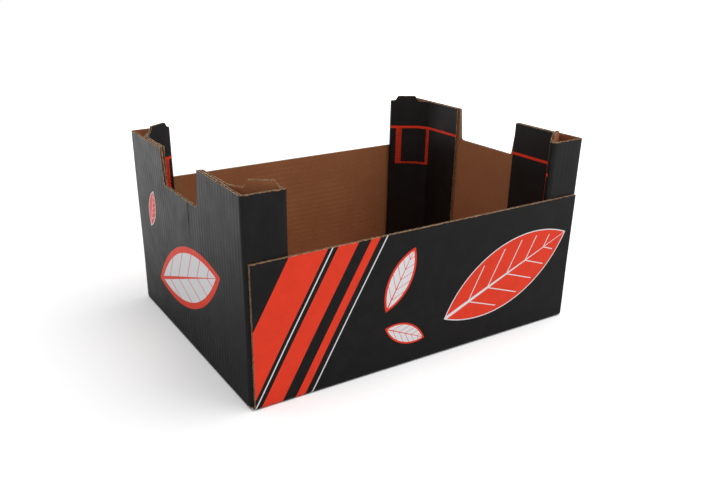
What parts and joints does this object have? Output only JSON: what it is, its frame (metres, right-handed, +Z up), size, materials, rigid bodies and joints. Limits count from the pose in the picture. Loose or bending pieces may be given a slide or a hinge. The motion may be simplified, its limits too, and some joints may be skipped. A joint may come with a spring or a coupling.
{
  "type": "corrugated cardboard tray box",
  "caption": "Open stacking tray box folded and glued from one sheet of black printed corrugated board, with hollow corner posts, tabs and end notches.",
  "frame": {"origin": "centre of the underside", "axes": "+X along the tray's length, +Y across it towards the back wall, +Z up"},
  "size_m": [0.4, 0.3, 0.212],
  "materials": {
    "printed_board": "black and red-orange flexographic print outside, bare brown kraft inside, cut edges bare"
  },
  "bodies": {
    "root": {"folded_tray": "printed_board"}
  },
  "joints": []
}
